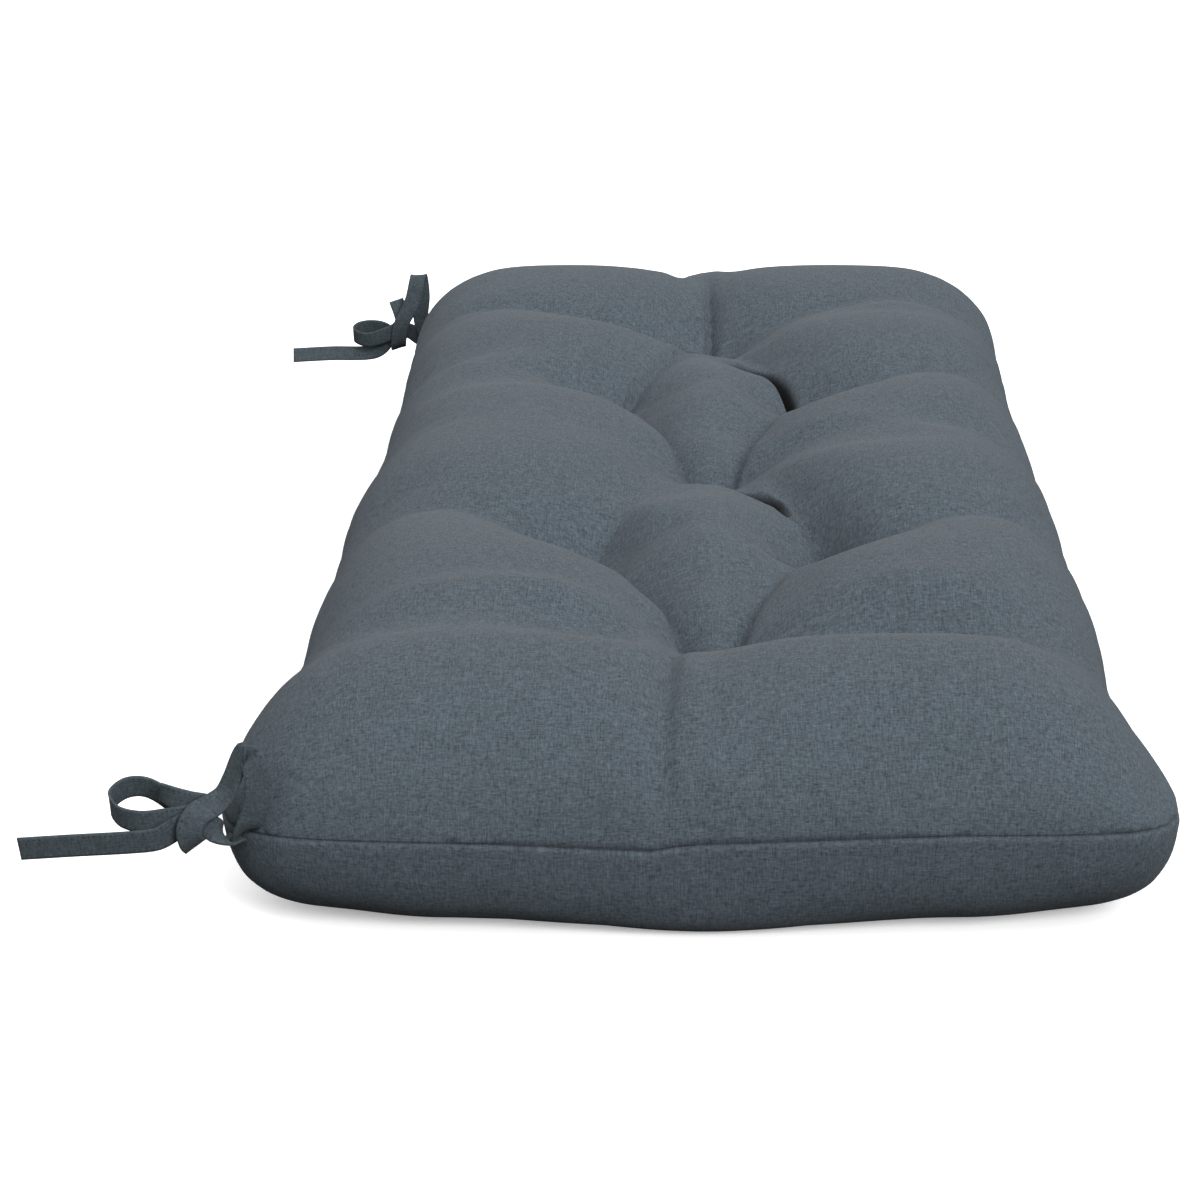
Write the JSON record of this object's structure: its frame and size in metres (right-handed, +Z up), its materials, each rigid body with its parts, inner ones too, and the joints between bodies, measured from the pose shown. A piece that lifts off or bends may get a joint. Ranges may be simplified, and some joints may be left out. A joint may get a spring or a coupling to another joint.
{
  "type": "bench cushion",
  "caption": "Long tufted bench cushion with a soft pillowed top, a flat underside and a plain seam, and sewn straps knotted in a bow at each back corner to tie it down.",
  "frame": {"origin": "middle of the flat underside that the cushion rests on", "axes": "+X along the bench, away from the end nearest the camera in the picture; +Y across it, towards the back edge that carries the ties; +Z up through the tufted top"},
  "size_m": [1.1278, 0.5579, 0.1277],
  "materials": {
    "cover_cloth": "plain woven slate blue-grey upholstery cloth, matt",
    "tie_cloth": "the same cloth folded and sewn into flat straps, a little darker"
  },
  "bodies": {
    "root": {"cushion": "cover_cloth", "tie_near_tail": "tie_cloth", "tie_near_bow": "tie_cloth", "tie_far_tail": "tie_cloth", "tie_far_bow": "tie_cloth"}
  },
  "joints": []
}
